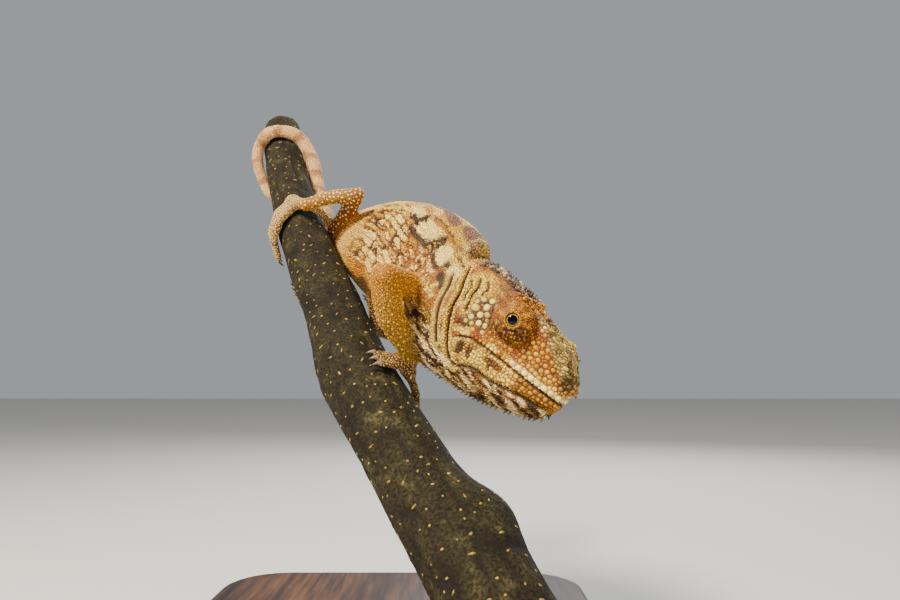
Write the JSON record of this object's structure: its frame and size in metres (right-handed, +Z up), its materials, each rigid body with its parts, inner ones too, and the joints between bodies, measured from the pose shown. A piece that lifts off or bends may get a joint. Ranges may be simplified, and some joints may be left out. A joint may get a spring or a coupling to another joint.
{
  "type": "chameleon",
  "caption": "Life-size chameleon creeping head-down along a length of branch, tail curled round it, on a display stand.",
  "frame": {"origin": "centre of the display stand's flat underside", "axes": "+Z up; the branch climbs from -Y towards +Y, leaning to -X; the animal rides on its +X side and shows its right flank to -Y"},
  "size_m": [0.15, 0.21, 0.204],
  "materials": {
    "skin": "dry, finely scaled",
    "eye": "wet gloss",
    "bark": "rough bark",
    "plinth": "satin",
    "steel": "satin"
  },
  "bodies": {
    "root": {"trunk": "skin", "neck": "skin", "head": "skin", "jaw": "skin", "turret_right": "skin", "turret_left": "skin", "eye_right": "eye", "eye_left": "eye", "upper_arm_right": "skin", "forearm_right": "skin", "hand_right": "skin", "upper_arm_left": "skin", "forearm_left": "skin", "hand_left": "skin", "thigh_right": "skin", "shank_right": "skin", "foot_right": "skin", "thigh_left": "skin", "shank_left": "skin", "foot_left": "skin", "tail_root": "skin", "tail_base": "skin", "tail_loop": "skin", "tail_under": "skin", "tail_tip": "skin", "perch": "bark", "stand_base": "plinth", "stand_rod": "steel", "stand_collar": "steel"}
  },
  "joints": []
}
